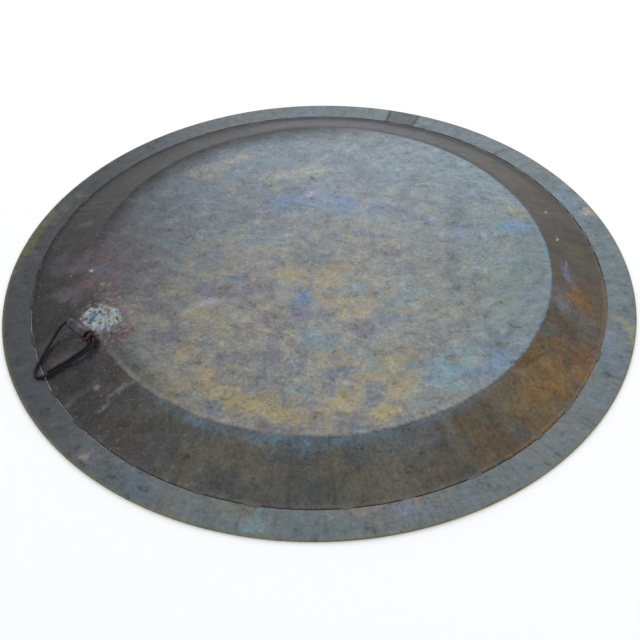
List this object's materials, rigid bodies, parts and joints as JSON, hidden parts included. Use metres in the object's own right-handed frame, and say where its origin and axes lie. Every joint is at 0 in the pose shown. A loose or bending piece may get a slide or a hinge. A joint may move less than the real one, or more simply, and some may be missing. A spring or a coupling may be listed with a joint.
{
  "type": "tam-tam gong",
  "caption": "Large flat-faced bronze tam-tam with a sloping wall, a stitch-welded flat rim ring and a brazed lug that holds a leather hanging loop.",
  "frame": {"origin": "centre of the rim's underside, on the gong's axis and on the floor that it lies on", "axes": "+Z along the gong's axis, out of the struck face; +Y towards the hanging lug, which is the gong's top when it hangs"},
  "size_m": [0.914, 0.9139, 0.0414],
  "materials": {
    "shell_bronze": "hammered bronze under a grey-green and brown patina",
    "ring_bronze": "rolled bronze under a grey-green patina",
    "weld_bronze": "ground flush, dark patina",
    "lug_bronze": "smooth, purple-grey heat tint",
    "braze": "rough, crusted with pale verdigris",
    "thong": "dark oiled thong"
  },
  "bodies": {
    "gong": {"gong_shell": "shell_bronze", "rim_ring": "ring_bronze", "rim_closing_piece": "ring_bronze", "closing_welds": "weld_bronze", "seam_welds": "weld_bronze", "lug_strap": "lug_bronze", "lug_braze": "braze"},
    "hanger": {"hanging_loop": "thong", "loop_tail": "thong", "loop_knot": "thong"}
  },
  "joints": [
    {"name": "hanger_swing", "type": "hinge", "parent": "gong", "child": "hanger", "pos_m": [0, 0.355, 0.03472], "axis": [0.9272, 0.3746, 0], "range_deg": [0, 165]}
  ]
}
